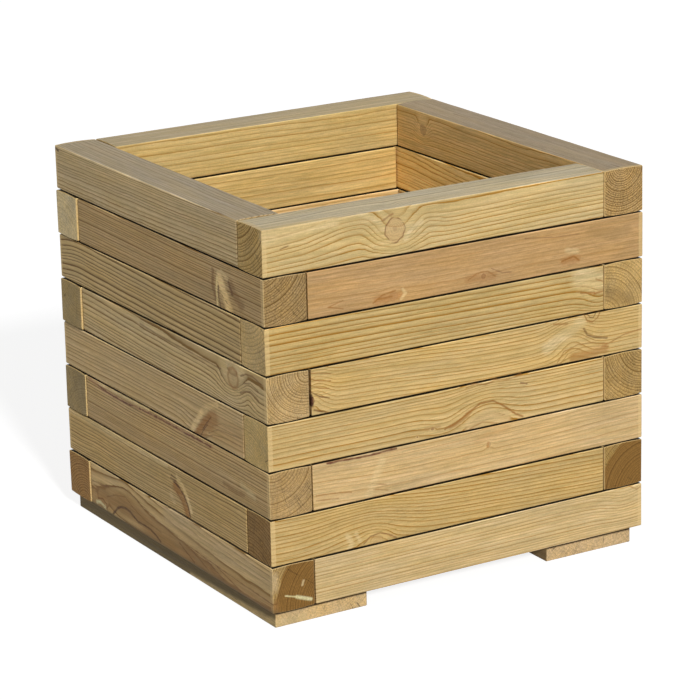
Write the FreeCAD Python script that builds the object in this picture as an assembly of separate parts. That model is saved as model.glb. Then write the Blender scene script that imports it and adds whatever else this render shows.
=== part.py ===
import FreeCAD, Part
import os

os.makedirs("parts", exist_ok=True)

# Square planter of planed timber rails, laid up in courses that turn the corner by alternate hands.
# Millimetres. X to the right along the front, Y to the back, Z up.
# The origin is on the ground, under the middle of the box.

# The box
outside_width = 420.0
course_count = 8

# The rails, all cut from one section
rail_thickness = 45.0
rail_height = 46.0
rail_arris = 1.5
rail_end_chamfer = 2.5
butt_gap = 1.0

# The boards under the box and in its floor, all cut from one section
board_width = 100.0
board_thickness = 16.0
board_arris = 1.0
left_bearer_inset = 5.0
right_bearer_inset = 10.0
bearer_end_inset = 6.0
floor_end_clearance = 2.0
least_drain_gap = 5.0

# The screws, driven upwards and flush with the underside that they enter
screw_diameter = 5.0
screw_head_diameter = 10.0
screw_point = 5.0
screw_bite = 34.0
screw_clearance = 0.05
pilot_run_out = 2.0
screw_stagger = 9.5
butt_screw_setback = 25.0
bearer_screw_setback = 20.0
bearer_screw_spacing = 160.0

# The nails, driven down through the floor into the bearers
nail_diameter = 2.8
nail_head_diameter = 6.0
nail_head_height = 1.2
nail_point = 3.0
nail_cover = 2.0
nail_edge_distance = 20.0
nail_clearance = 0.05

# Worked out from the sizes above
half_width = outside_width / 2
half_inside = half_width - rail_thickness
rail_length = outside_width - rail_thickness - butt_gap
centreline = half_width - rail_thickness / 2
corner_screw_setback = rail_thickness / 2 + screw_stagger
box_bottom = board_thickness
course_screw_length = rail_height + screw_bite
bearer_screw_length = board_thickness + screw_bite
bearer_outer_edges = {-1: half_width - left_bearer_inset, 1: half_width - right_bearer_inset}
bearer_length = outside_width - 2 * bearer_end_inset
nail_length = 2 * board_thickness - nail_cover

sides = ["front", "right", "back", "left"]
up = FreeCAD.Vector(0, 0, 1)
down = FreeCAD.Vector(0, 0, -1)
origin = FreeCAD.Vector(0, 0, 0)


def hand_of(course):
    """1 where the front rail starts at the left face, -1 where it starts at the right face."""
    return 1 if course % 2 == 1 else -1


def underside_of(course):
    """The height of a course's underside. Course 1 is the rim."""
    return box_bottom + (course_count - course) * rail_height


def turned_to_side(shape, side):
    """A shape drawn on the front side, turned round the box to another side."""
    turned = shape.copy()
    turned.rotate(origin, up, 90 * side)
    return turned


def eased_bar(length, depth, height, arris):
    """A bar along X from the origin, with its four long edges rounded."""
    bar = Part.makeBox(length, depth, height)
    long_edges = []
    for edge in bar.Edges:
        if abs(edge.BoundBox.XLength - length) < Part.Precision.confusion():
            long_edges.append(edge)
    return bar.makeFillet(min(arris, depth / 3, height / 3), long_edges)


def bar_with_chamfered_ends(length, depth, height, chamfer):
    """A bar along X from the origin, with the four edges of each end chamfered."""
    bar = Part.makeBox(length, depth, height)
    end_edges = []
    for edge in bar.Edges:
        if edge.BoundBox.XLength < Part.Precision.confusion():
            end_edges.append(edge)
    return bar.makeChamfer(min(chamfer, depth / 3, height / 3), end_edges)


def turned_solid(outline):
    """The solid turned round Z from points of radius and height."""
    points = [FreeCAD.Vector(radius, 0, height) for radius, height in outline]
    face = Part.Face(Part.makePolygon(points + points[:1]))
    return face.revolve(origin, up, 360)


def countersunk_screw(length):
    """A screw that stands on its flush head at the origin and points up."""
    head = screw_head_diameter / 2
    shank = screw_diameter / 2
    return turned_solid([
        (0, 0),
        (head, 0),
        (shank, head - shank),
        (shank, length - screw_point),
        (0, length),
    ])


def screw_hole(depth):
    """The countersunk hole for such a screw through a piece of the given depth, and past its top face."""
    head = screw_head_diameter / 2 + screw_clearance
    shank = screw_diameter / 2 + screw_clearance
    return turned_solid([(0, 0), (head, 0), (shank, head - shank), (shank, depth + 1), (0, depth + 1)])


def pilot_hole():
    """The blind hole that takes the screw's end, drilled up from an underside."""
    return Part.makeCylinder(screw_diameter / 2 + screw_clearance, screw_bite + pilot_run_out)


def flat_headed_nail():
    """A nail with the top of its head at the origin, pointing down."""
    head = nail_head_diameter / 2
    shank = nail_diameter / 2
    return turned_solid([
        (0, 0),
        (head, 0),
        (head, -nail_head_height),
        (shank, -nail_head_height),
        (shank, nail_point - nail_length),
        (0, -nail_length),
    ])


def nail_hole():
    """The hole that a driven nail leaves in both boards, with the seat that its head presses in."""
    shank = Part.makeCylinder(nail_diameter / 2 + nail_clearance, nail_length + nail_clearance, origin, down)
    seat = Part.makeCylinder(nail_head_diameter / 2 + nail_clearance, nail_head_height, origin, down)
    return shank.fuse(seat)


def at_places(shape, places):
    """One compound of copies of a shape, at the given places."""
    return Part.Compound([shape.translated(place) for place in places])


def plain_rail(course, side):
    """One rail in its place, before it is drilled."""
    rail = eased_bar(rail_length, rail_thickness, rail_height, rail_arris)
    rail = rail.common(bar_with_chamfered_ends(rail_length, rail_thickness, rail_height, rail_end_chamfer))
    start = -half_width if hand_of(course) == 1 else half_width - rail_length
    rail.translate(FreeCAD.Vector(start, -half_width, underside_of(course)))
    return turned_to_side(rail, side)


def course_screw_places(course):
    """Where the heads of a course's screws lie: by each rail's corner, and by the end that stops at a rail."""
    places = []
    for distance in [corner_screw_setback, rail_length - butt_screw_setback]:
        along = hand_of(course) * (distance - half_width)
        for side in range(len(sides)):
            turn = FreeCAD.Rotation(up, 90 * side)
            places.append(turn.multVec(FreeCAD.Vector(along, -centreline, underside_of(course))))
    return places


def bearer_inner_edge(x_sign):
    """How far the inner edge of the left or right bearer lies from the middle."""
    return bearer_outer_edges[x_sign] - board_width


def bearer_screw_places():
    """Where the heads of the bearers' screws lie: two along each side rail, one in each end rail."""
    along = centreline - screw_stagger
    places = []
    for x_sign in [-1, 1]:
        across = bearer_inner_edge(x_sign) + bearer_screw_setback
        for y_sign in [-1, 1]:
            places.append(FreeCAD.Vector(x_sign * centreline, y_sign * bearer_screw_spacing / 2, 0))
            places.append(FreeCAD.Vector(x_sign * across, y_sign * along, 0))
    return places


def floor_slat_centres():
    """The floor slats' middles, front to back: as many as fit, with equal gaps for water between them."""
    inside = 2 * half_inside
    count = int((inside - least_drain_gap) // (board_width + least_drain_gap))
    gap = (inside - count * board_width) / (count + 1)
    return [gap + board_width / 2 - half_inside + index * (board_width + gap) for index in range(count)]


def floor_nail_places():
    """Where the tops of the nail heads lie: two at each end of each slat, over the bearers."""
    along = board_width / 2 - nail_edge_distance
    top = box_bottom + board_thickness
    places = []
    for centre in floor_slat_centres():
        for x_sign in [-1, 1]:
            across = (half_inside + bearer_inner_edge(x_sign)) / 2
            for y_sign in [-1, 1]:
                places.append(FreeCAD.Vector(x_sign * across, centre + y_sign * along, top))
    return places


def drilled_rails(course):
    """The four rails of a course, drilled for their own screws and for those that come from below."""
    drills = []
    if course > 1:
        drills.append(at_places(screw_hole(rail_height), course_screw_places(course)))
    if course < course_count:
        drills.append(at_places(pilot_hole(), course_screw_places(course + 1)).translated(rail_height * up))
    else:
        drills.append(at_places(pilot_hole(), bearer_screw_places()).translated(box_bottom * up))
    rails = {}
    for side, side_name in enumerate(sides):
        rail = plain_rail(course, side)
        for drill in drills:
            rail = rail.cut(drill)
        rails[f"course_{course}_{side_name}_rail"] = rail
    return rails


def bearer(x_sign):
    """A board under the left or right wall, front to back."""
    board = eased_bar(bearer_length, board_width, board_thickness, board_arris)
    board.translate(FreeCAD.Vector(-bearer_length / 2, -bearer_outer_edges[x_sign], 0))
    board.rotate(origin, up, 90 * x_sign)
    board = board.cut(at_places(screw_hole(board_thickness), bearer_screw_places()))
    return board.cut(at_places(nail_hole(), floor_nail_places()))


def floor_slat(centre):
    """A board across the floor, which rests on both bearers."""
    length = 2 * (half_inside - floor_end_clearance)
    board = eased_bar(length, board_width, board_thickness, board_arris)
    board.translate(FreeCAD.Vector(-length / 2, centre - board_width / 2, box_bottom))
    return board.cut(at_places(nail_hole(), floor_nail_places()))


nodes = {}
for course in range(1, course_count + 1):
    nodes.update(drilled_rails(course))
    if course > 1:
        screw = countersunk_screw(course_screw_length)
        nodes[f"course_{course}_screws"] = at_places(screw, course_screw_places(course))
nodes["left_bearer"] = bearer(-1)
nodes["right_bearer"] = bearer(1)
nodes["bearer_screws"] = at_places(countersunk_screw(bearer_screw_length), bearer_screw_places())
for number, centre in enumerate(floor_slat_centres(), start=1):
    nodes[f"floor_slat_{number}"] = floor_slat(centre)
nodes["floor_slat_nails"] = at_places(flat_headed_nail(), floor_nail_places())

for name, shape in nodes.items():
    shape.exportStep(f"parts/{name}.step")
    print(name, len(shape.Solids), "solids,", round(shape.Volume / 1000, 2), "cm3, valid:", shape.isValid())
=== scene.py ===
"""A square timber planter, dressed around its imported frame.

Lengths are in metres, but those of the grain and of the timber's material are in millimetres.
"""

import math
import random
from dataclasses import dataclass

import bmesh
import bpy
from mathutils import Matrix, Vector, noise


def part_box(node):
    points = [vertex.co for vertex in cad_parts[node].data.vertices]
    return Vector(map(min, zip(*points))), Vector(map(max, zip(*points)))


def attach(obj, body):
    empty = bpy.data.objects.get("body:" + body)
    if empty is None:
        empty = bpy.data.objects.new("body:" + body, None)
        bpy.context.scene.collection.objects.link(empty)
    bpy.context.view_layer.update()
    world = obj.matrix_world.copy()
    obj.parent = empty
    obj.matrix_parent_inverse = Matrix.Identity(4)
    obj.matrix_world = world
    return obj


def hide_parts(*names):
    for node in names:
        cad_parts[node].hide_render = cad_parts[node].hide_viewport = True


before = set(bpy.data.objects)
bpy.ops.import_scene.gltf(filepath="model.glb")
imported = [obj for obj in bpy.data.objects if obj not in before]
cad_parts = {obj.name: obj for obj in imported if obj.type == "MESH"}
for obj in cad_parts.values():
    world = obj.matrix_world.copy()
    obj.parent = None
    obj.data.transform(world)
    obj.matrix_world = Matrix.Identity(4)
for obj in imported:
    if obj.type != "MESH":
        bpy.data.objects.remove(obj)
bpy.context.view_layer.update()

bl_info = {
    "name": "Square timber planter",
    "version": (1, 0, 0),
    "blender": (4, 5, 0),
    "location": "View3D > Sidebar > Planter",
    "description": "Dresses the planter's rails, boards and fixings, and sets its stage",
    "category": "Object",
}

BODY = "root"
MM = 0.001
SIDES = ["front", "right", "back", "left"]
COURSES = range(1, 9)
FLOOR_SLATS = range(1, 4)


def linear(channel):
    """One channel of a screen colour, 0 to 255, as the linear value that a shader takes."""
    value = channel / 255
    if value <= 0.04045:
        return value / 12.92
    return ((value + 0.055) / 1.055) ** 2.4


def srgb(red, green, blue):
    """A colour written as it looks on a screen, in linear values."""
    return linear(red), linear(green), linear(blue)


# How the timber of each piece grew and was cut

@dataclass
class Knot:
    """A branch that runs from its root to where it shows. Places are x, y, z from the middle of its piece.

    lift: how far it pushes the rings about
    dark, light: how brown and how bright its wood is
    core, edge: how clear its wood and its outline are
    """
    root: tuple
    end: tuple
    radius: float
    lift: float = 5.0
    dark: float = 0.5
    edge: float = 0.6
    core: float = 0.8
    light: float = 1.0


@dataclass
class Swell:
    """A place on the outer face, x and z from the middle of its piece, where the rings bulge."""
    x: float
    z: float
    reach_x: float
    reach_z: float
    lift: float


@dataclass
class Marking:
    """A coloured mark along a path of x and z on the outer face, or of y and z on the ends. Most are stained
    wood; a few are painted shade and painted light.
    """
    path: tuple
    half_width: float
    colour: tuple
    strength: float
    ragged: float
    on_end: bool


@dataclass
class Grain:
    """How a piece grew and was cut.

    tone, end_tone, top_tone: the colours of its faces, of its ends and of a greyer top
    heart, slope: y and z of the tree's heart at the middle of the piece, and its rise along the piece
    ring, shift, wander: the width of a ring, the shift of the rings in widths, and how far they stray
    contrast, end_contrast, darkness: how clear the rings are on faces and on ends, and how dark on faces
    heartwood: the radius of the brown heartwood, where it shows
    trim, overhang: how far its left end falls short, and how far its right end stands out
    wane: the start, the end and the radius of a stretch that lacks its upper outer edge
    """
    tone: tuple = (204, 173, 116)
    end_tone: tuple = (166, 136, 88)
    top_tone: tuple = ()
    heart: tuple = (20.0, 40.0)
    slope: float = 0.0
    ring: float = 3.2
    shift: float = 0.0
    wander: float = 8.0
    contrast: float = 0.8
    end_contrast: float = 1.0
    painted_groove_shade: float = 0.0
    heartwood: float = 0.0
    trim: float = 0.0
    overhang: float = 0.0
    wane: tuple = ()
    knots: tuple = ()
    swells: tuple = ()
    stains_and_painted_shading: tuple = ()


BARK = (106, 58, 38)
THIN_BARK = (96, 54, 40)
BROWN_LINE = (158, 108, 52)
BROWN_CLOUD = (172, 126, 70)
SHADED_BROWN = (156, 102, 44)
PALE_CLOUD = (226, 203, 152)
DARK_LINE = (108, 70, 34)
SPLINTER = (84, 56, 32)


def round_path(x, z, radius):
    """A closed path round a place on a face."""
    angles = [math.radians(45 * step) for step in range(9)]
    return tuple((x + radius * math.cos(angle), z + radius * math.sin(angle)) for angle in angles)


def marks(*rows, on_end=False):
    """Markings, each from its half width, colour, strength, raggedness and the points of its path."""
    return tuple(Marking(row[4:], *row[:4], on_end) for row in rows)


# Painted shade along the top of a bearer's end, where it meets the box
GAP_SHADE = marks((1.4, (46, 33, 21), 0.95, 0.6, (-50, 6.2), (50, 6.2)), on_end=True)

GRAIN = {}
GRAIN["course_1_front_rail"] = Grain(
    tone=(213, 189, 140), end_tone=(190, 160, 102), end_contrast=1.4, top_tone=(220, 206, 172),
    heart=(34, 56), slope=0.02, ring=3.4, shift=-0.4, wander=6, contrast=1.1,
    knots=(Knot((-48, 14, 12), (-47, -23, 2), 11, lift=9, dark=0.0, edge=0.75, core=0.6, light=1.05),),
    swells=(Swell(-92, 8, 38, 20, -7), Swell(-12, 4, 16, 14, -3)),
    stains_and_painted_shading=marks(
        (6.5, (220, 195, 142), 0.7, 5, (-182, 17), (-112, 20)),
        (2.2, PALE_CLOUD, 0.55, 2, (-36, -9), (-29, 0), (-18, 5)),
        (2.0, PALE_CLOUD, 0.45, 2, (-62, 10), (-72, 16), (-84, 21)),
        (0.9, (150, 100, 62), 0.6, 1, (-60, 12), (-54, 15), (-49, 17)),
        (0.6, (128, 84, 46), 0.7, 1, (-168, 2), (-160, 4)),
    ),
)
GRAIN["course_2_front_rail"] = Grain(
    tone=(193, 157, 112), heart=(40, -70), slope=-0.012, ring=3.4, wander=10, contrast=0.32,
    knots=(
        Knot((-96, 22, -20), (-96, -23, -15), 4.5, lift=3, dark=0.35, edge=0.3, core=0.5),
        Knot((3, 22, -20), (3, -23, -12), 2.6, lift=3, dark=0.9, edge=0.4),
        Knot((104, 22, -16), (104, -23, -11), 2.6, lift=2, edge=0.4, core=0.5),
    ),
    stains_and_painted_shading=marks(
        (4.0, (178, 128, 76), 0.6, 5, (-114, -16), (-90, -15)),
        (4.0, (178, 130, 78), 0.5, 5, (-14, -12), (14, -14)),
        (3.5, (176, 126, 74), 0.6, 5, (94, -12), (110, -12)),
        (2.5, PALE_CLOUD, 0.35, 4, (98, -2), (110, -5)),
        (0.4, BARK, 0.5, 0.6, (50, 17), (84, 13), (112, 12)),
        (5, (160, 130, 84), 0.4, 6, (126, 12), (150, 5), (168, 8)),
        (0.5, BROWN_LINE, 0.7, 0.8, (-150, -10), (-166, -14), (-150, -18)),
        (0.7, BROWN_LINE, 0.7, 1, (-118, -18), (-108, -12), (-94, -10)),
        (1.1, BROWN_LINE, 0.7, 2, (-112, -15), (-98, -15)),
        (1.4, PALE_CLOUD, 0.5, 1, (-88, -19), (-83, -14), (-86, -10)),
        (0.6, BROWN_LINE, 0.6, 1, (-14, -13), (-4, -8), (8, -8), (16, -14)),
        (0.5, BARK, 0.5, 0.8, (12, -6), (24, -12), (34, -13)),
        (0.8, BROWN_LINE, 0.8, 1.2, (92, -12), (106, -9), (112, -14)),
    ),
)
GRAIN["course_3_front_rail"] = Grain(
    tone=(203, 177, 124), end_tone=(204, 176, 122), end_contrast=0.45,
    heart=(15, 46), slope=-0.014, ring=3.6, wander=4, contrast=1.4,
    swells=(Swell(182, -10, 16, 14, 7),),
    stains_and_painted_shading=marks(
        (10, PALE_CLOUD, 0.55, 6, (160, 14), (172, 10), (188, 6)),
        (0.9, BROWN_LINE, 0.7, 1.5, (160, -1), (176, -3)),
        (1.1, BROWN_LINE, 0.8, 1.5, (176, -4), (186, -3)),
        (0.8, BROWN_LINE, 0.6, 1.5, (178, 10), (187, 6)),
    ),
)
GRAIN["course_4_front_rail"] = Grain(
    tone=(211, 183, 129), heart=(26, -66), slope=-0.02, ring=3.1, wander=4, contrast=0.95, trim=1.3,
    knots=(Knot((-188, 24, -14), (-187.5, -23, -8), 4.2, lift=4, dark=1.0, edge=1.0, core=1.0),),
    swells=(Swell(20, -4, 120, 30, -6), Swell(104, 2, 20, 20, 12), Swell(-180, 0, 12, 30, 6)),
    stains_and_painted_shading=marks(
        (5.5, PALE_CLOUD, 0.5, 4, (74, -4), (88, 4), (104, 10), (114, 16)),
        (4.2, BROWN_CLOUD, 0.7, 4, (104, -17), (124, -18), (142, -15)),
        (0.6, BROWN_LINE, 0.65, 1.2,
         (86, -20), (94, -10), (110, -6), (128, -7), (146, -11), (164, -5), (186, -3)),
        (0.5, BROWN_LINE, 0.6, 0.8, (90, -21), (99, -13), (116, -9.5), (132, -11), (146, -14)),
        (1.1, (128, 96, 56), 0.75, 1, (117, 9), (121, 2), (130, -2), (144, -5)),
        (0.6, BROWN_LINE, 0.9, 0.6, (118, 22), (121, 16), (127, 14), (133, 17), (136, 22)),
        (0.5, DARK_LINE, 0.8, 0.5, (122, 22), (124, 19), (128, 18), (131, 22)),
        (0.8, BROWN_LINE, 0.6, 1.5, (82, 19), (98, 17)),
        (1.5, (60, 32, 22), 0.9, 1, (-187, -3), (-186, -12)),
        (0.7, (120, 84, 48), 0.85, 0.6, (-187, 1), (-178, -5), (-168, -8)),
        (0.5, BROWN_LINE, 0.8, 0.6, (-187, 7), (-178, 3), (-168, 1)),
        (0.5, BROWN_LINE, 0.8, 0.6, (-187, 13), (-178, 10), (-166, 8)),
        (0.5, BROWN_LINE, 0.7, 0.6, (-187, 19), (-178, 17), (-166, 15)),
        (0.8, DARK_LINE, 0.8, 0.8, (-184, -17), (-172, -21)),
    ),
)
GRAIN["course_5_front_rail"] = Grain(
    tone=(211, 184, 132), end_tone=(208, 180, 121), end_contrast=0.45,
    heart=(18, -33), ring=2.6, wander=3, contrast=1.15,
    knots=(
        Knot((-10, 20, -14), (-10, -23, -13), 1.6, lift=1, dark=1.0, edge=0.9, core=0.9),
        Knot((-27, 20, -18), (-27, -23, -18), 0.9, lift=0.5, dark=1.0, core=0.9),
    ),
    swells=(Swell(52, -5, 26, 24, 5.5), Swell(4, -6, 20, 16, -3)),
    stains_and_painted_shading=marks(
        (6, (208, 178, 124), 0.85, 1.5, (32, -19), (52, -11), (72, -19)),
        (2.2, BROWN_CLOUD, 0.7, 1.5, (10, -15), (20, -12), (32, -5)),
        (0.9, BROWN_LINE, 0.85, 1,
         (4, -16), (16, -13), (30, -5), (44, 2), (58, 2), (70, -5), (84, -16), (92, -20)),
        (0.8, BROWN_LINE, 0.5, 1, (32, -21), (46, -17), (62, -21)),
        (1.6, (188, 150, 96), 0.6, 1, (-18, -12), (-2, -12)),
        (0.7, BROWN_LINE, 0.7, 1.5, (28, 20), (38, 22), (50, 19.5), (62, 22), (76, 20), (92, 22)),
        (0.6, BARK, 0.6, 1.5, (90, 14), (97, 12)),
    ),
)
GRAIN["course_6_front_rail"] = Grain(
    tone=(213, 184, 139), heart=(34, -60), slope=0.02, wander=6, contrast=0.55,
    wane=(-172, -90, 2.2),
    knots=(Knot((7, 20, 14), (7, -23, 5), 2.6, lift=2, dark=0.3, edge=0.1, core=0.5),),
    swells=(Swell(-200, 0, 60, 40, 6),),
    stains_and_painted_shading=marks(
        (0.9, BARK, 0.9, 1.6, (-171, 21), (-150, 20.6), (-124, 20), (-96, 21.2)),
        (1.4, (190, 138, 80), 0.7, 1, (6, 3), (6.5, 7)),
        (3.5, (204, 164, 110), 0.45, 5, (-6, 10), (4, 14), (28, 17)),
        (0.6, BROWN_LINE, 0.6, 1.5, (-184, -8), (-166, -9), (-146, -12)),
        (0.6, BROWN_LINE, 0.6, 1.5, (-184, -13), (-160, -15)),
        (0.5, BROWN_LINE, 0.6, 0.8, (-124, -8), (-108, -12)),
        (0.5, BROWN_LINE, 0.6, 0.8, (-122, -14), (-106, -18)),
        (4, PALE_CLOUD, 0.3, 6, (-128, -20), (-119, -2), (-112, 12)),
    ),
)
GRAIN["course_7_front_rail"] = Grain(
    tone=(203, 175, 121), end_tone=(150, 118, 72),
    heart=(18, -80), slope=-0.045, ring=3.4, wander=5, contrast=1.1,
    knots=(Knot((-74, 16, -34), (-74, -23, -21), 7, lift=4, dark=0.1, edge=0.3, core=0.3),),
    swells=(Swell(-84, -2, 42, 24, 11),),
    stains_and_painted_shading=marks(
        (2.6, PALE_CLOUD, 0.45, 4, (-106, -8), (-101, -16), (-104, -22)),
        (1.8, PALE_CLOUD, 0.4, 3, (-96, -8), (-92, -16)),
        (0.6, (140, 100, 60), 0.8, 0.7, (-88, -20), (-81, -14), (-70, -12.5), (-60, -16), (-52, -21)),
    ),
)
GRAIN["course_8_front_rail"] = Grain(
    tone=(210, 186, 143), heart=(12, 70), slope=0.004, ring=2.8, wander=4,
    swells=(Swell(166, 8, 24, 18, 6),),
    stains_and_painted_shading=marks((0.6, BROWN_LINE, 0.6, 1, (172, 22), (181, 17), (187, 20))),
)
GRAIN["course_1_left_rail"] = Grain(
    tone=(212, 190, 152), top_tone=(181, 165, 137),
    heart=(40, -60), slope=0.005, ring=2.4, wander=6, contrast=1.1, painted_groove_shade=0.4,
    stains_and_painted_shading=marks((1.2, (70, 46, 28), 0.85, 1.5, (-185, 19), (-179, 18))),
)
GRAIN["course_2_left_rail"] = Grain(
    tone=(198, 170, 127), end_tone=(162, 133, 86), end_contrast=1.2,
    heart=(-30, 46), slope=-0.012, ring=2.7, wander=5, contrast=1.3, painted_groove_shade=0.4,
    stains_and_painted_shading=marks(
        (2.6, DARK_LINE, 0.55, 5, (93, 10), (92, -4), (98, -16)),
        (5.0, (120, 84, 46), 0.5, 6, (127, 4), (134, -5), (146, -11)),
        (1.8, (96, 62, 34), 0.7, 4, (120, 9), (124, 4), (129, -4)),
        # The pale legs of the spike knot: pale wood, brightened further by a painted sheen
        (2.2, (240, 210, 150), 0.6, 4, (103, 11), (110, 12), (120, 9)),
        (5.6, (255, 220, 154), 0.9, 3, (107, 4), (114, -7), (122, -20)),
        (2.6, (232, 196, 134), 0.6, 2, (120, -12), (128, -21)),
        (1.5, (255, 226, 160), 0.8, 3, (101, 6), (99, -6), (100, -20)),
        (0.7, (70, 44, 24), 0.75, 1.5, (103, -2), (103, -12), (106, -21)),
        (0.6, (112, 74, 40), 0.7, 0.8, (109, -9), (112, -11)),
        (0.6, (112, 74, 40), 0.7, 0.8, (116, -13), (119, -15)),
    ),
)
GRAIN["course_3_left_rail"] = Grain(
    tone=(207, 181, 134), heart=(26, 52), slope=-0.028, ring=3.1, wander=6, contrast=1.6, painted_groove_shade=0.6,
    swells=(Swell(-200, 0, 30, 34, 6),),
)
GRAIN["course_4_left_rail"] = Grain(
    tone=(218, 194, 150), end_tone=(186, 157, 108),
    heart=(20, 26), slope=-0.03, ring=2.5, wander=5, contrast=1.35, painted_groove_shade=0.5,
    knots=(Knot((125, 14, 12), (125, -23, 7), 9.5, lift=5, dark=0.0, edge=0.2, core=0.3),),
    swells=(Swell(152, -6, 12, 10, -4), Swell(105, -8, 16, 10, 3)),
    stains_and_painted_shading=marks(
        (4, (214, 190, 145), 0.8, 1.5, (116, 19), (134, 19)),
        (1.6, SHADED_BROWN, 0.5, 1, *round_path(125, 7, 10)),
        (0.8, DARK_LINE, 0.7, 1, (140, 13), (150, 17), (162, 18), (178, 14)),
        (0.8, DARK_LINE, 0.6, 1, (138, -4), (148, 0), (158, 2), (172, -3)),
        (0.7, DARK_LINE, 0.6, 1, (145, 7), (158, 10), (172, 6)),
        (0.8, DARK_LINE, 0.6, 1, (-60, 15), (-30, 13), (0, 12), (60, 11), (102, 10)),
    ),
)
GRAIN["course_5_left_rail"] = Grain(
    tone=(213, 187, 145), heart=(30, -60), ring=3.0, wander=5, contrast=0.95, painted_groove_shade=0.4,
    swells=(Swell(92, -14, 20, 14, -4),),
    stains_and_painted_shading=marks(
        (13, (196, 158, 104), 0.45, 4, (130, -6), (182, -6)),
        (8.5, SHADED_BROWN, 0.5, 6, (98, -23), (112, -9), (130, 3)),
        (3.5, SHADED_BROWN, 0.5, 3, (96, -22), (107, -10), (122, 3)),
        (3.4, (250, 218, 158), 0.7, 4, (83, -23), (94, -10), (106, 2)),
        (3.2, (244, 212, 152), 0.5, 5, (106, 2), (120, 12), (137, 18)),
        (0.5, (84, 52, 30), 0.8, 1.5, (106, -15), (114, -7), (124, 2)),
        (0.6, (84, 52, 30), 0.75, 1.2, (103, -21), (110, -13), (117, -7)),
        (0.5, DARK_LINE, 0.5, 0.8, (112, -21), (128, -14), (152, -11), (182, -11)),
        (0.5, DARK_LINE, 0.45, 0.8, (118, -15), (138, -6), (182, -3)),
        (0.4, DARK_LINE, 0.35, 0.8, (126, -6), (146, 2), (182, 5)),
    ),
)
GRAIN["course_6_left_rail"] = Grain(
    tone=(207, 179, 134), end_tone=(176, 146, 98), end_contrast=0.7,
    heart=(-18, 34), slope=-0.005, ring=2.8, wander=6, contrast=1.15, painted_groove_shade=0.45,
    stains_and_painted_shading=marks(
        (8, (178, 146, 98), 0.35, 3, (-180, -14), (180, -14)),
        (1.6, (150, 100, 74), 0.5, 4,
         (-180, 20), (-146, 16.5), (-108, 15.8), (-60, 18), (0, 19), (78, 18.6)),
        (0.6, THIN_BARK, 0.9, 2.2, (-160, 18.2), (-140, 16.2), (-108, 15.4), (-84, 16.6)),
        (0.6, THIN_BARK, 0.8, 2.8, (-70, 17.6), (-30, 18.6), (14, 19)),
        (0.7, THIN_BARK, 0.85, 2.2, (22, 18), (50, 18.8), (76, 18.4)),
        (0.9, (240, 214, 160), 0.75, 1.2, (-158, 20.6), (-50, 21.5)),
        (3.0, PALE_CLOUD, 0.5, 4, (134, -2), (148, -6), (158, -8)),
        (2.2, (124, 86, 46), 0.45, 4, (100, -11), (122, -13), (138, -12)),
    ),
)
GRAIN["course_7_left_rail"] = Grain(
    tone=(206, 178, 128), heart=(24, 64), ring=2.6, wander=10, contrast=1.1, painted_groove_shade=0.5,
    stains_and_painted_shading=marks(
        (2.4, (228, 202, 148), 0.55, 1.5, (-187, 20), (30, 19.5)),
        (5.5, SHADED_BROWN, 0.65, 4, (46, 3), (56, -2), (64, -9), (70, -18)),
        (2.6, (250, 218, 156), 0.75, 3, (50, 13), (62, 7), (70, -1), (77, -14)),
        (1.0, (78, 48, 26), 0.85, 2.2, (44, 7), (54, 4.5), (64, -2), (71, -10), (75, -20)),
        (0.7, SPLINTER, 0.8, 1.5, (38, 12.5), (49, 12)),
        (0.7, SPLINTER, 0.8, 1.5, (37, 9.6), (48, 9)),
        (0.6, SPLINTER, 0.7, 1.5, (41, 6.5), (50, 6)),
        (0.6, DARK_LINE, 0.6, 1.5, (48, -2), (58, -8), (65, -16)),
        (3.0, (228, 200, 146), 0.4, 4, (36, -8), (42, -14)),
    ),
)
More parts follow.
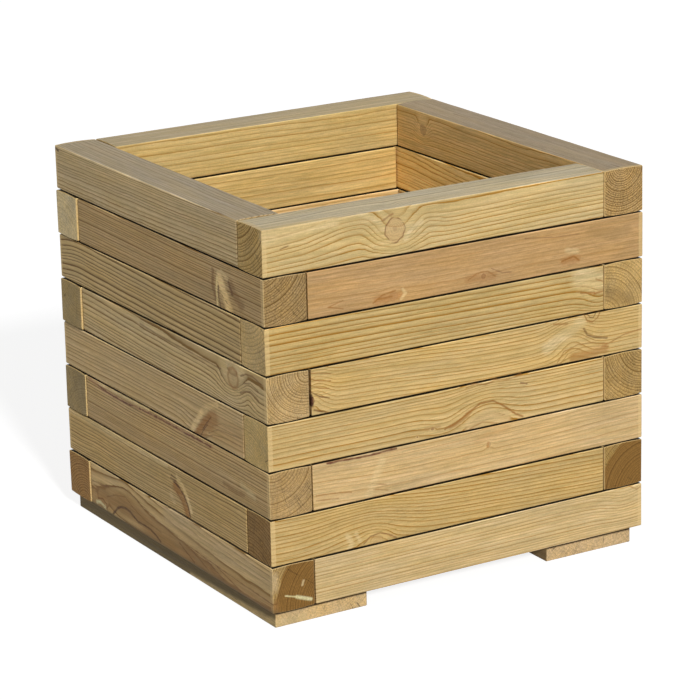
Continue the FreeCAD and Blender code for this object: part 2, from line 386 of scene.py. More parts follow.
GRAIN["course_8_left_rail"] = Grain(
    tone=(214, 186, 140), end_tone=(168, 138, 84), end_contrast=0.9,
    heart=(50, -12.8), slope=-0.05, ring=2.2, wander=5, contrast=1.3, painted_groove_shade=0.45, heartwood=71.5,
    knots=(Knot((-162, 20, -22), (-162, -23, -15), 4.5, lift=2, edge=0.9, core=0.6),),
    swells=(Swell(-112, 8, 32, 26, 2.6),),
    stains_and_painted_shading=marks(
        (9, (206, 180, 136), 0.6, 4, (-20, 15), (187, 9)),
        (12, (156, 118, 70), 0.65, 4,
         (-187, -14), (-150, -9), (-104, -1), (-60, -10), (0, -15), (90, -18), (187, -21)),
        (0.8, (124, 88, 50), 0.5, 1.5,
         (-187, 2), (-150, 6), (-128, 12), (-102, 15), (-80, 9), (-40, 1), (0, -3)),
        (1.3, (80, 50, 28), 0.85, 1.5,
         (-140, -21), (-134, -16), (-128, -11), (-120, -7.5), (-110, -6), (-100, -7), (-92, -10)),
        (1.1, (80, 50, 28), 0.8, 1.5,
         (-92, -10), (-84, -12.5), (-70, -12), (-58, -12.5), (-46, -15), (-36, -19)),
        (0.6, DARK_LINE, 0.5, 1.5, (-152, -6), (-132, 2), (-110, 6), (-92, -1), (-70, -6), (-34, -9)),
        # A dark band along the bottom edge: partly brown wood, partly painted shade above the bearer
        (4, (112, 90, 58), 0.6, 2, (-187, -24), (187, -23)),
        (0.6, DARK_LINE, 0.6, 1.5, (20, -5), (90, -9), (187, -13)),
        (0.7, DARK_LINE, 0.6, 1.5, (28, -7), (62, -18)),
        (0.7, DARK_LINE, 0.6, 1.5, (52, -7), (92, -18)),
        (0.7, DARK_LINE, 0.6, 1.5, (80, -9), (125, -19)),
        (0.8, DARK_LINE, 0.7, 1, (-172, -13), (-162, -11), (-154, -14), (-152, -20)),
        (1.7, (224, 214, 166), 0.8, 2, (-176, -18), (-166, -16), (-157, -19)),
        (0.8, DARK_LINE, 0.7, 1.5, (4, -8), (34, -19)),
    ) + marks(
        (0.7, (224, 214, 162), 0.8, 0.4, (-9, -7), (3, -10.5)),
        (1.6, (224, 214, 162), 0.9, 0.6, (3, -10.5), (11, -13.5), (18, -16)),
        (1.1, PALE_CLOUD, 0.6, 0.6, (9, 0), (10.5, 4)),
        on_end=True,
    ),
)
GRAIN["course_1_right_rail"] = Grain(
    tone=(224, 192, 136), end_tone=(180, 148, 96), end_contrast=1.7, top_tone=(174, 157, 132),
    heart=(2, 27), slope=0.01, ring=2.2, wander=7, contrast=0.9,
    knots=(Knot((130, -18, 10), (136, 23, 4), 6, lift=6, dark=0.4, edge=0.5, core=0.6),),
)
# Its tone is painted lighter, as light falling on the inside of the right wall
GRAIN["course_2_right_rail"] = Grain(
    tone=(250, 216, 150), heart=(-20, 44), slope=0.05, ring=3.4, wander=12, contrast=1.0,
)
GRAIN["course_3_right_rail"] = Grain(
    tone=(210, 178, 120), end_tone=(190, 158, 100), end_contrast=0.6, heart=(26, -30), ring=2.8,
    stains_and_painted_shading=marks((7, (142, 114, 68), 0.5, 8, (-6, -16), (20, -8)), on_end=True),
)
GRAIN["course_5_right_rail"] = Grain(
    tone=(206, 176, 120), end_tone=(174, 143, 88), heart=(-26, 30), ring=2.8,
)
GRAIN["course_7_right_rail"] = Grain(
    tone=(200, 168, 112), end_tone=(162, 132, 76),
    heart=(-30, -32), ring=2.6, end_contrast=0.7, heartwood=62,
)
GRAIN["course_1_back_rail"] = Grain(
    tone=(213, 186, 128), top_tone=(200, 182, 146),
    heart=(-24, 50), slope=0.01, ring=4.0, wander=7, contrast=0.6,
)
GRAIN["course_2_back_rail"] = Grain(
    tone=(219, 188, 126), end_tone=(221, 200, 153), end_contrast=0.25, overhang=1.2,
    heart=(-20, -58), slope=0.01, ring=4.2, wander=7, contrast=0.6,
)
GRAIN["course_3_back_rail"] = Grain(
    tone=(238, 204, 150), heart=(-20, 48), ring=4.4, wander=10,
)
GRAIN["course_4_back_rail"] = Grain(
    tone=(208, 180, 126), end_tone=(172, 150, 105), end_contrast=0.45, overhang=1.2,
    heart=(16, 40), ring=2.6,
)
GRAIN["course_6_back_rail"] = Grain(
    tone=(208, 180, 126), end_tone=(160, 140, 100), end_contrast=0.4, overhang=0.8,
    heart=(24, -40), ring=2.6,
)
GRAIN["course_8_back_rail"] = Grain(
    tone=(204, 174, 122), end_tone=(168, 130, 80), overhang=1.2, heart=(10, -30), ring=2.8,
)
# The bearers' tones are painted dark, as shade under the box. The left bearer's pale strip along its lower
# edge is painted light
GRAIN["left_bearer"] = Grain(
    tone=(122, 106, 74), end_tone=(204, 174, 124), end_contrast=0.25,
    heart=(10, 40), ring=4.0, contrast=0.4,
    stains_and_painted_shading=marks((4, (206, 180, 130), 0.8, 1, (40, -9), (204, -4))) + GAP_SHADE,
)
# The right bearer's tone is painted dark, as shade under the box
GRAIN["right_bearer"] = Grain(
    tone=(150, 128, 92), end_tone=(200, 171, 126), end_contrast=0.25,
    heart=(-20, 50), ring=4.0, contrast=0.5,
    stains_and_painted_shading=GAP_SHADE,
)


def chance_grain(name):
    """The grain of a piece that has none of its own above: the same each time, by its name."""
    draw = random.Random(name)
    warm = draw.uniform(-1, 1)
    light = draw.uniform(-6, 6)
    knots = []
    for _ in range(draw.choice([0, 1, 1, 2])):
        x = draw.uniform(-150, 150)
        z = draw.uniform(-14, 14)
        radius = draw.uniform(3, 9)
        lean = draw.uniform(-12, 12)
        dark = draw.uniform(0.15, 0.6)
        knots.append(Knot((x, 20, z + lean), (x, -23, z), radius, lift=radius * 0.9, dark=dark, core=0.6))
    return Grain(
        tone=(209 + light, 179 + light - 4 * warm, 123 + light - 3 * warm),
        end_tone=(176 + light, 147 + light, 98 + light),
        heart=(draw.uniform(5, 35), draw.choice([-1, 1]) * draw.uniform(28, 62)),
        slope=draw.uniform(-0.06, 0.06),
        ring=draw.uniform(2.6, 4.2),
        wander=draw.uniform(6, 14),
        contrast=draw.uniform(0.6, 0.95),
        knots=tuple(knots),
    )


def grain_of(name):
    """The grain that a piece is given above, or one drawn by chance."""
    return GRAIN.get(name) or chance_grain(name)


# Sizes and colours that a user would change

class PlanterTimber(bpy.types.PropertyGroup):
    """The cut and the colours of the timber."""
    rail_arris: bpy.props.FloatProperty(
        name="Rail arris", description="Rounding of a rail's long edges", default=1.2 * MM, unit="LENGTH")
    rail_end_ease: bpy.props.FloatProperty(
        name="Rail end easing", description="Easing round the end that shows",
        default=1.0 * MM, unit="LENGTH")
    rail_butt_ease: bpy.props.FloatProperty(
        name="Rail butt easing", description="Easing round the end at a rail",
        default=1.0 * MM, unit="LENGTH")
    board_arris: bpy.props.FloatProperty(
        name="Board arris", description="Rounding of a board's edges", default=0.8 * MM, unit="LENGTH")
    crown: bpy.props.FloatProperty(
        name="Crown", description="How far a rail's bed falls away to its edges",
        default=0.9 * MM, unit="LENGTH")
    station: bpy.props.FloatProperty(
        name="Station", description="Distance between cross sections", default=11 * MM, unit="LENGTH")
    bow: bpy.props.FloatProperty(
        name="Bow", description="How far a piece may bend sideways", default=0.4 * MM, unit="LENGTH")
    early_wood: bpy.props.FloatVectorProperty(
        name="Early wood", description="What the pale part of a ring makes of its piece's tone",
        default=(1.02, 0.99, 0.86), subtype="COLOR")
    late_wood: bpy.props.FloatVectorProperty(
        name="Late wood", description="What the dark part of a ring takes from the pale wood",
        default=(0.58, 0.40, 0.14), subtype="COLOR")
    heart_wood: bpy.props.FloatVectorProperty(
        name="Heartwood", description="Brown wood near the heart",
        default=srgb(146, 112, 62), subtype="COLOR")
    knot_wood: bpy.props.FloatVectorProperty(
        name="Knot", description="Wood of a sound knot", default=srgb(206, 172, 122), subtype="COLOR")
    knot_edge: bpy.props.FloatVectorProperty(
        name="Knot edge", description="Dark line round a knot", default=srgb(122, 72, 40), subtype="COLOR")
    eased_edge: bpy.props.FloatVectorProperty(
        name="Eased edge", description="Fuzzy pale wood on eased ends",
        default=srgb(230, 200, 142), subtype="COLOR")


class PlanterFixings(bpy.types.PropertyGroup):
    """The finish of the screws and nails."""
    screw_steel: bpy.props.FloatVectorProperty(
        name="Screw steel", description="Yellow passivated zinc",
        default=srgb(190, 170, 112), subtype="COLOR")
    nail_steel: bpy.props.FloatVectorProperty(
        name="Nail steel", description="Hot dipped zinc", default=srgb(168, 170, 172), subtype="COLOR")
    recess_width: bpy.props.FloatProperty(
        name="Recess width", description="Width of the cross in a screw's head",
        default=5.2 * MM, unit="LENGTH")
    recess_depth: bpy.props.FloatProperty(
        name="Recess depth", description="Depth of the cross in a screw's head",
        default=2.8 * MM, unit="LENGTH")


class PlanterStage(bpy.types.PropertyGroup):
    """The light, the floor and the camera."""
    key_strength: bpy.props.FloatProperty(
        name="Key light", description="Strength of the lamp in front", default=2.4)
    key_elevation: bpy.props.FloatProperty(
        name="Key elevation", description="Height of the lamp in front",
        default=math.radians(29), subtype="ANGLE")
    key_azimuth: bpy.props.FloatProperty(
        name="Key azimuth", description="Turn of the lamp to the right",
        default=math.radians(-12), subtype="ANGLE")
    key_softness: bpy.props.FloatProperty(
        name="Key softness", description="Apparent size of the lamp",
        default=math.radians(6), subtype="ANGLE")
    wall_light: bpy.props.FloatProperty(
        name="Light from the walls", description="Strength of the even light from all round", default=0.45)
    ceiling_light: bpy.props.FloatProperty(
        name="Light from above", description="Strength of the light from overhead", default=0.12)
    floor_colour: bpy.props.FloatVectorProperty(
        name="Floor", description="Colour that the floor throws back",
        default=(0.42, 0.41, 0.40), subtype="COLOR")
    floor_white: bpy.props.FloatProperty(
        name="Floor white", description="How white the floor looks in shadow",
        default=0.84, subtype="FACTOR")
    floor_shade: bpy.props.FloatProperty(
        name="Floor shade", description="How much of the light on it the floor shows",
        default=0.34, subtype="FACTOR")
    camera_place: bpy.props.FloatVectorProperty(
        name="Camera", description="Where the camera stands",
        default=(-1.51375, -2.55775, 1.08327), unit="LENGTH")
    camera_aim: bpy.props.FloatVectorProperty(
        name="Aim", description="Where the camera looks", default=(0.00152, -0.00371, 0.184), unit="LENGTH")
    camera_roll: bpy.props.FloatProperty(
        name="Roll", description="Turn of the camera about its view",
        default=math.radians(-1.385), subtype="ANGLE")
    camera_lens: bpy.props.FloatProperty(
        name="Lens", description="Focal length on a 36 mm sensor", default=160.056)


# Shader maths

def is_vector(value):
    """Whether a value is a vector or a colour, as a socket or as numbers."""
    if isinstance(value, Shade):
        return value.socket.type in {"VECTOR", "RGBA"}
    return isinstance(value, (tuple, Vector))


class Shade:
    """A socket in Python expressions: each operation adds its nodes to the socket's own tree."""

    def __init__(self, socket):
        self.socket = socket

    def node(self, kind, settings, sockets, output=0):
        """Adds a node of any kind: its settings first, then the values or links of its sockets."""
        tree = self.socket.id_data
        made = tree.nodes.new(kind)
        for name, value in settings.items():
            setattr(made, name, value)
        for key, value in sockets.items():
            if isinstance(value, Shade):
                tree.links.new(value.socket, made.inputs[key])
            else:
                made.inputs[key].default_value = value
        return Shade(made.outputs[output])

    def maths(self, operation, *values, output=0):
        """A Math node, or a Vector Math node where one of the values is a vector or a colour."""
        kind = "ShaderNodeMath"
        if any(is_vector(value) for value in values):
            kind = "ShaderNodeVectorMath"
            values = [(value,) * 3 if isinstance(value, (int, float)) else value for value in values]
        return self.node(kind, {"operation": operation}, dict(enumerate(values)), output)

    def __add__(self, other):
        return self.maths("ADD", self, other)

    __radd__ = __add__

    def __sub__(self, other):
        return self.maths("SUBTRACT", self, other)

    def __rsub__(self, other):
        return self.maths("SUBTRACT", other, self)

    def __mul__(self, other):
        return self.maths("MULTIPLY", self, other)

    __rmul__ = __mul__

    def __truediv__(self, other):
        return self.maths("DIVIDE", self, other)

    def __abs__(self):
        return self.maths("ABSOLUTE", self)

    def length(self):
        """The length of a vector."""
        return self.maths("LENGTH", self, output=1)

    def dot(self, other):
        """The dot product of two vectors."""
        return self.maths("DOT_PRODUCT", self, other, output=1)

    def parts(self):
        """The x, y and z of a vector."""
        first = self.node("ShaderNodeSeparateXYZ", {}, {0: self})
        outputs = first.socket.node.outputs
        return Shade(outputs[0]), Shade(outputs[1]), Shade(outputs[2])

    def vector(self, x, y, z):
        """A vector of three values."""
        return self.node("ShaderNodeCombineXYZ", {}, {0: x, 1: y, 2: z})

    def fade(self, start, stop):
        """A smooth step from 0 at start to 1 at stop, which may be the lower of the two."""
        settings = {"interpolation_type": "SMOOTHSTEP"}
        return self.node("ShaderNodeMapRange", settings, {0: self, 1: start, 2: stop})

    def mix(self, other, factor):
        """This colour, turned into another by a factor. The other may be plain numbers."""
        if not isinstance(other, Shade):
            other = tuple(other) + (1.0,)
        return self.node("ShaderNodeMix", {"data_type": "RGBA"}, {0: factor, 6: self, 7: other}, output=2)

    def noise(self, scale, detail=1.0, rough=0.5):
        """Smooth noise about 0, over a place stretched by scale."""
        sockets = {"Vector": self * scale, "Scale": 1.0, "Detail": detail, "Roughness": rough}
        return self.node("ShaderNodeTexNoise", {}, sockets) - 0.5

    def noise_along(self, scale, offset):
        """Smooth noise about 0, along a single value."""
        sockets = {"W": self * scale + offset, "Scale": 1.0, "Detail": 1.0}
        return self.node("ShaderNodeTexNoise", {"noise_dimensions": "1D"}, sockets) - 0.5

    def chance(self):
        """A number from 0 to 1, drawn for each whole value."""
        return self.node("ShaderNodeTexWhiteNoise", {"noise_dimensions": "1D"}, {"W": self})

    def bump(self, strength):
        """A normal from this height in millimetres."""
        return self.node("ShaderNodeBump", {}, {"Strength": strength, "Distance": MM, "Height": self})


def new_surface(name):
    """A new material, its principled surface and its texture coordinates."""
    material = bpy.data.materials.new(name)
    material.use_nodes = True
    nodes = material.node_tree.nodes
    return material, nodes["Principled BSDF"], nodes.new("ShaderNodeTexCoord")


def feed(shader, **values):
    """Links or sets the sockets of a shader, named with _ for each space."""
    for name, value in values.items():
        socket = shader.inputs[name.replace("_", " ")]
        if isinstance(value, Shade):
            socket.id_data.links.new(value.socket, socket)
        else:
            socket.default_value = value


# The timber's material

# How late wood and heartwood change the colour of a greyer top or of an end
LATE_ON_TOP = (0.66, 0.60, 0.53)
LATE_ON_ENDS = (0.40, 0.32, 0.20)
HEART_ON_ENDS = (0.88, 0.80, 0.62)
EASED_STRIP = 4.7
KNOT_RIM = 0.12


def along_line(place, start, stop, first=0.0, last=1.0):
    """The share of a line that is nearest to a place, held between two shares, and how far away that is."""
    run = Vector(stop) - Vector(start)
    offset = place - tuple(start)
    share = offset.dot(tuple(run / run.length_squared))
    held = share.node("ShaderNodeClamp", {}, {0: share, 1: first, 2: last})
    return held, (offset - place.vector(held, held, held) * tuple(run)).length()


def branch(place, sample, knot):
    """How far a place is from a branch's middle line, in the branch's own radii there, and uneven."""
    share, away = along_line(place, knot.root, knot.end, 0.05, 1.3)
    uneven = sample.noise((1.2 / knot.radius,) * 3) * 0.45
    return away / (share * (0.8 * knot.radius) + 0.2 * knot.radius) + uneven


def bulge(place, swell):
    """1 in the middle of a swell, and falling off to 0 round it."""
    x, _, z = place.parts()
    over_x = (x - swell.x) / swell.reach_x
    over_z = (z - swell.z) / swell.reach_z
    near = over_x * over_x + over_z * over_z
    return near.maths("EXPONENT", near * -0.8)


def late_edge(radius, grain, draw):
    """Rings of uneven width and strength: 0 in the pale early wood of each, and up to 1 at its dark edge."""
    uneven = radius.noise_along(1 / (4 * grain.ring), draw.uniform(0, 90)) * 1.9
    rings = radius / grain.ring + grain.shift + uneven
    year = rings.maths("FLOOR", rings)
    phase = rings - year
    late = phase.fade(0.35, 0.95) * 0.6 + phase.fade(0.74, 0.92) * 0.75
    return late * phase.fade(1.0, 0.95) * (year.chance() * 0.55 + 0.45)


def with_knot(colour, around, knot, reach, sample, fuzz):
    """A colour with a knot on it, in a halo of the wood around it and with a broken outline."""
    looks = bpy.context.scene.planter_timber
    core = reach.fade(1.06, 0.86) * knot.core
    years = reach * (0.42 * knot.radius)
    line = years.maths("FRACT", years)
    broken = sample.noise((1.3 / knot.radius,) * 3).fade(-0.16, 0.10)
    rim = abs(reach - 1.0).fade(KNOT_RIM, 0.0) * broken
    pith = reach.fade(0.24, 0.06) * knot.core
    halo = reach.fade(2.4, 1.1) * (1 - core)
    wood = reach.vector(*looks.knot_wood) * knot.light
    wood = wood.mix(looks.knot_edge, line.fade(0.4, 1.0) * 0.3 + knot.dark * 0.7)
    colour = colour.mix(around, halo * 0.4)
    colour = colour.mix(wood * (1 + fuzz * 0.5), core)
    return colour.mix(looks.knot_edge, rim * knot.edge + pith * 0.4)


def marking_cover(marking, place, ragged, streak, end):
    """Where a marking lies on its face: a band along its path, with a ragged edge."""
    if marking.on_end:
        face = end
        flat = place * (0, 1, 1)
        points = [(0, across, rise) for across, rise in marking.path]
    else:
        face = place.parts()[1].fade(-14, -20) * (1 + streak * 1.6)
        flat = place * (1, 0, 1)
        points = [(along, 0, rise) for along, rise in marking.path]
    distances = [along_line(flat, start, stop)[1] for start, stop in zip(points, points[1:])]
    nearest = distances[0]
    for distance in distances[1:]:
        nearest = nearest.maths("MINIMUM", nearest, distance)
    soft = 0.5 * marking.half_width + 0.3
    band = (nearest + ragged * marking.ragged).fade(marking.half_width + soft, marking.half_width - soft)
    return band * face * marking.strength


def timber_material(name, grain, length, beds, free_end):
    """Softwood with rings about its heart, knots, fuzzy eased ends, end grain, painted highlights on upper
    arrises, and beds painted dark as shade.
    """
    looks = bpy.context.scene.planter_timber
    draw = random.Random(name + " wood")
    material, surface, texture = new_surface(name)
    place = Shade(texture.outputs["Object"]) * (1 / MM)
    x, y, z = place.parts()
    normal = Shade(texture.outputs["Normal"])
    rise = normal.parts()[2]
    turn_x, turn_y, turn_z = abs(normal).parts()
    end = turn_x.fade(0.80, 0.95)

    # Fibres and streaks along the piece, fuzz, patches, flecks and a drift in hue
    sample = place + tuple(draw.uniform(-900, 900) for _ in range(3))
    fibre = sample.noise((1 / 60, 0.55, 0.55), 3.0, 0.62)
    streak = sample.noise((1 / 12, 1.1, 1.1), 2.0, 0.6)
    fuzz = sample.noise((0.7, 0.7, 0.7), 3.0, 0.7)
    patch = sample.noise((1 / 110, 1 / 24, 1 / 24), 3.0, 0.6)
    fleck = sample.noise((1 / 9, 1.5, 1.5)).fade(0.15, 0.28)
    hue = sample.noise((1 / 75, 1 / 17, 1 / 17), 2.0)
    drift = place.vector(1 + hue * 0.12, 1.0, 1 - hue * 0.35 + fibre * 0.45)
    weave = drift * (1 + fibre * 0.85 + streak * 0.6 + fuzz * 0.4 + patch * 0.5)

    # Distance from the heart, pushed about by slow waves, fibres, knots and swells
    across_y = y - grain.heart[0]
    across_z = z - x * grain.slope - grain.heart[1]
    radius = place.vector(0.0, across_y, across_z).length()
    radius = radius + sample.noise((1 / 230, 1 / 70, 1 / 70)) * grain.wander
    radius = radius + sample.noise((1 / 34, 1 / 13, 1 / 13), 2.0) * (0.18 * grain.wander) + fibre * 0.7
    reaches = [branch(place, sample, knot) for knot in grain.knots]
    for knot, reach in zip(grain.knots, reaches):
        radius = radius - reach.fade(3.6, 0.4) * knot.lift
    for swell in grain.swells:
        radius = radius - bulge(place, swell) * swell.lift
    late = late_edge(radius, grain, draw)

    # Pale wood, brown near the heart, with dark rings and flecks. On the left rails the rings are painted
    # darker still, as shade in their grooves under a grazing light
    pale = place.vector(*srgb(*grain.tone)) * weave * tuple(looks.early_wood)
    if grain.heartwood:
        edge = radius + sample.noise((1 / 60, 1 / 12, 1 / 12)) * 6
        depth = edge.fade(grain.heartwood + 1, grain.heartwood - 1)
        pale = pale.mix(place.vector(*looks.heart_wood) * weave, depth * 0.65)
    mark = late * (grain.contrast * (1 + fibre * 0.9 + streak * 0.8 + patch * 1.2))
    colour = pale.mix(pale * tuple(looks.late_wood) * (1 - grain.painted_groove_shade), mark)
    colour = colour * (1 - fleck * 0.14)

    # The rim's top is greyer
    if grain.top_tone:
        grey = place.vector(*srgb(*grain.top_tone)) * weave
        grey = grey.mix(grey * LATE_ON_TOP, mark)
        colour = colour.mix(grey, rise.fade(0.70, 0.96) * 0.85)

    # End grain has harder rings, pores, and checks that run out from the heart
    turn = across_z.maths("ARCTAN2", across_z, across_y)
    check = abs(turn.noise_along(9.0, draw.uniform(0, 90)) + fuzz * 0.03).fade(0.008, 0.001)
    check = check * sample.noise((1 / 12, 1 / 12, 1 / 12)).fade(0.0, 0.12)
    rays = turn.noise_along(70.0, draw.uniform(0, 90))
    pores = 1.1 + fuzz * (1.4 + grain.end_contrast) + patch * 0.8 + rays * 0.5
    sawn = place.vector(*srgb(*grain.end_tone)) * drift * pores
    if grain.heartwood:
        brown = place.vector(*looks.heart_wood) * HEART_ON_ENDS * (1 + fuzz * 1.2)
        sawn = sawn.mix(brown, depth * 0.95)
    sawn = sawn.mix(sawn * LATE_ON_ENDS, late * (1.1 + fuzz * 2.0) * grain.end_contrast)
    colour = colour.mix(sawn * (1 - check * 0.6), end)

    # Eased ends are fuzzy and pale, upper arrises get a painted highlight, and beds are painted dark as
    # shade
    inner = length / 2 / MM - EASED_STRIP
    eased = (x * free_end + fuzz * 1.4).fade(inner - 0.5, inner + 0.5) * (1 - end)
    colour = colour.mix(place.vector(*looks.eased_edge) * (1 + fuzz * 0.6), eased * 0.5)
    # Painted highlight: arrises that face upwards are painted paler, as if catching the light
    arris = turn_y.maths("MAXIMUM", turn_y, turn_z).fade(0.99, 0.85) * (1 - turn_x.fade(0.05, 0.25))
    lit = arris * rise.fade(0.05, 0.5) * (0.35 + patch * 1.6)
    colour = colour * place.vector(1 + lit, 1 + lit * 1.15, 1 + lit * 1.5)
    # Painted shade: the beds, and the arrises that turn into them, are darkened to deepen the seams between
    # pieces
    for bed in beds:
        colour = colour * (1 - (rise * bed).fade(0.84, 0.97) * 0.96)

    # Knots and markings lie over the rest; some markings are painted shade and painted light
    for knot, reach in zip(grain.knots, reaches):
        colour = with_knot(colour, pale * 1.06, knot, reach, sample, fuzz)
    ragged = sample.noise((1 / 7, 1 / 2, 1 / 2), 3.0, 0.6) * 1.6
    for marking in grain.stains_and_painted_shading:
        cover = marking_cover(marking, place, ragged, streak, end)
        colour = colour.mix(place.vector(*srgb(*marking.colour)) * weave, cover)

    relief = late * 0.04 + fibre * 0.06 + fuzz * (end + eased) * 0.14 - fleck * 0.04
    rough = 0.66 + fibre * 0.2 - late * 0.08 + end * 0.12
    feed(surface, Base_Color=colour, Roughness=rough, Normal=relief.bump(1.0), Specular_IOR_Level=0.2)
    return material


# The timber's shape

EASE_RUN = 1.4
END_TILT = 0.008
UNEVENNESS = 0.4
UPPER_OUTER_EDGE = 2
LEAST_RADIUS = 0.2 * MM
WELD_DISTANCE = 0.001 * MM
SHARP_ANGLE = math.radians(40)


@dataclass
class Cut:
    """How a piece is cut: its arris, the easing of its left and right ends, its crown, and its faults."""
    arris: float
    eases: tuple
    crown: float
    draw: random.Random


def rounded_section(depth, height, radii, inset):
    """The y and z of a section with rounded corners, drawn in by an inset, round from the lower inside."""
    arc_steps = 3
    side_steps = 4
    corners = [(1, -1), (1, 1), (-1, 1), (-1, -1)]
    arcs = []
    for index, (y_sign, z_sign) in enumerate(corners):
        radius = max(radii[index] - inset, LEAST_RADIUS)
        middle_y = y_sign * (depth / 2 - inset - radius)
        middle_z = z_sign * (height / 2 - inset - radius)
        arc = []
        for step in range(arc_steps + 1):
            angle = math.radians(90 * (index - 1 + step / arc_steps))
            arc.append((middle_y + radius * math.cos(angle), middle_z + radius * math.sin(angle)))
        arcs.append(arc)
    points = []
    for index, arc in enumerate(arcs):
        points += arc
        last = Vector(arc[-1])
        following = Vector(arcs[(index + 1) % 4][0])
        for step in range(1, side_steps):
            points.append(tuple(last.lerp(following, step / side_steps)))
    return points


def eased_end(ease):
    """Distances in from an end, with the inset of the section there, to where the section is full."""
    steps = 4
    angles = [math.radians(90 * step / (steps - 1)) for step in range(steps)]
    return [(EASE_RUN * ease * (1 - math.cos(angle)), ease * (1 - math.sin(angle))) for angle in angles]


def stations(length, eases, spacing):
    """Places along a piece with the inset of its section there: eased round at both ends."""
    start = [(run - length / 2, inset) for run, inset in eased_end(eases[0])]
    stop = [(length / 2 - run, inset) for run, inset in reversed(eased_end(eases[1]))]
    first = start[-1][0]
    clear = stop[0][0] - first
    count = max(round(clear / spacing), 2)
    middle = [(first + clear * index / count, 0.0) for index in range(1, count)]
    return start + middle + stop


def arris_radii(x, grain, cut, phase):
    """The radii of a section's four corners at a place along a piece: uneven, and larger at a wane."""
    radii = []
    for corner in range(4):
        uneven = noise.noise(Vector((x * 30, corner * 7.3, phase)))
        radii.append(cut.arris * (1 + UNEVENNESS * uneven))
    if grain.wane:
        first, last, radius = grain.wane
        middle = (first + last) / 2
        share = max(0.0, 1 - abs(x / MM - middle) / ((last - first) / 2))
        ragged = 0.75 + 0.5 * noise.noise(Vector((x * 120, 3.0, phase)))
        missing = radius * MM * min(1.0, 3 * share) * ragged
        radii[UPPER_OUTER_EDGE] = max(radii[UPPER_OUTER_EDGE], missing)
    return radii


def timber_shape(size, grain, cut):
    """A piece of timber along X about its middle, a little bowed, crowned and uneven at its arrises."""
    looks = bpy.context.scene.planter_timber
    length, depth, height = size
    bow = cut.draw.uniform(-1, 1) * looks.bow
    tilt_y = cut.draw.uniform(-1, 1) * END_TILT
    tilt_z = cut.draw.uniform(-1, 1) * END_TILT
    phase = cut.draw.uniform(0, 50)
    shape = bmesh.new()
    rings = []
    for x, inset in stations(length, cut.eases, looks.station):
        radii = arris_radii(x, grain, cut, phase)
        sideways = bow * (1 - (2 * x / length) ** 2)
        at_end = abs(x) > length / 2 - EASE_RUN * max(cut.eases) - MM
        ring = []
        for y, z in rounded_section(depth, height, radii, inset):
            fall = cut.crown * (2 * y / depth) ** 2 * (2 * z / height)
            lean = tilt_y * y + tilt_z * z if at_end else 0.0
            ring.append(shape.verts.new((x + lean, y + sideways, z - fall)))
        rings.append(ring)
    for ring, following in zip(rings, rings[1:]):
        count = len(ring)
        for index in range(count):
            after = (index + 1) % count
            shape.faces.new((ring[index], ring[after], following[after], following[index]))
    shape.faces.new(reversed(rings[0]))
    shape.faces.new(rings[-1])
    bmesh.ops.recalc_face_normals(shape, faces=shape.faces)
    return shape


def welded(node):
    """The shape of a node, with the points that its faces share made one."""
    shape = bmesh.new()
    shape.from_mesh(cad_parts[node].data)
    bmesh.ops.remove_doubles(shape, verts=shape.verts, dist=WELD_DISTANCE)
    shape.normal_update()
    return shape


def linked(name, data):
    """A new object in the scene."""
    item = bpy.data.objects.new(name, data)
    bpy.context.scene.collection.objects.link(item)
    return item


def made(name, shape):
    """An object of a shape, which is used up."""
    mesh = bpy.data.meshes.new(name)
    shape.to_mesh(mesh)
    shape.free()
    return linked(name, mesh)


def drill_for(node):
    """A cutter in the shape of a node's fixings, a hair larger so that they fit."""
    clearance = 0.05 * MM
    shape = welded(node)
    for vertex in shape.verts:
        vertex.co += vertex.normal * clearance
    return made(node + "_drill", shape)


def drilled(piece, drills):
    """Cuts the holes of the given drills into a piece."""
    for drill in drills:
        modifier = piece.modifiers.new(drill.name, "BOOLEAN")
        modifier.object = drill
        modifier.operation = "DIFFERENCE"
        modifier.solver = "EXACT"
    bpy.context.view_layer.update()
    evaluated = piece.evaluated_get(bpy.context.evaluated_depsgraph_get())
    mesh = bpy.data.meshes.new_from_object(evaluated)
    piece.modifiers.clear()
    plain = piece.data
    piece.data = mesh
    bpy.data.meshes.remove(plain)


def stand_for(piece, node, material):
    """Finishes a piece and puts it in the place of a node."""
    piece.data.materials.clear()
    piece.data.materials.append(material)
    piece.data.shade_smooth()
    piece.data.set_sharp_from_angle(angle=SHARP_ANGLE)
    smooth = piece.modifiers.new("flat faces", "WEIGHTED_NORMAL")
    smooth.keep_sharp = True
    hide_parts(node)
    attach(piece, BODY)


def timber_piece(node, side, cut, drills, beds=(), free_end=0):
    """A dressed piece of timber in the place of a node, which lies along the given side of the box.

    beds: where it lies on another piece or under one, 1 for its top and -1 for its underside
    free_end: the end that shows at a corner, -1 for its left, 1 for its right and 0 for none
    """
    low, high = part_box(node)
    size = high - low
    if side % 2:
        size = Vector((size.y, size.x, size.z))
    grain = grain_of(node)
    size.x += (grain.overhang - grain.trim) * MM
    shift = Vector(((grain.overhang + grain.trim) * MM / 2, 0, 0))
    name = node + "_timber"
    piece = made(name, timber_shape(size, grain, cut))
    turn = Matrix.Rotation(math.radians(90 * side), 4, "Z")
    piece.matrix_world = Matrix.Translation((low + high) / 2) @ turn @ Matrix.Translation(shift)
    drilled(piece, drills)
    stand_for(piece, node, timber_material(name, grain, size.x, beds, free_end))


def remove_all(objects):
    """Takes helper objects and their meshes out of the file."""
    for item in objects:
        mesh = item.data
        bpy.data.objects.remove(item)
        bpy.data.meshes.remove(mesh)


def board(node, side, drills, beds=()):
    """A bearer or a slat of the floor, with its edges and ends rounded alike."""
    arris = bpy.context.scene.planter_timber.board_arris
    cut = Cut(arris, (arris, arris), 0.0, random.Random(node))
    timber_piece(node, side, cut, drills, beds)


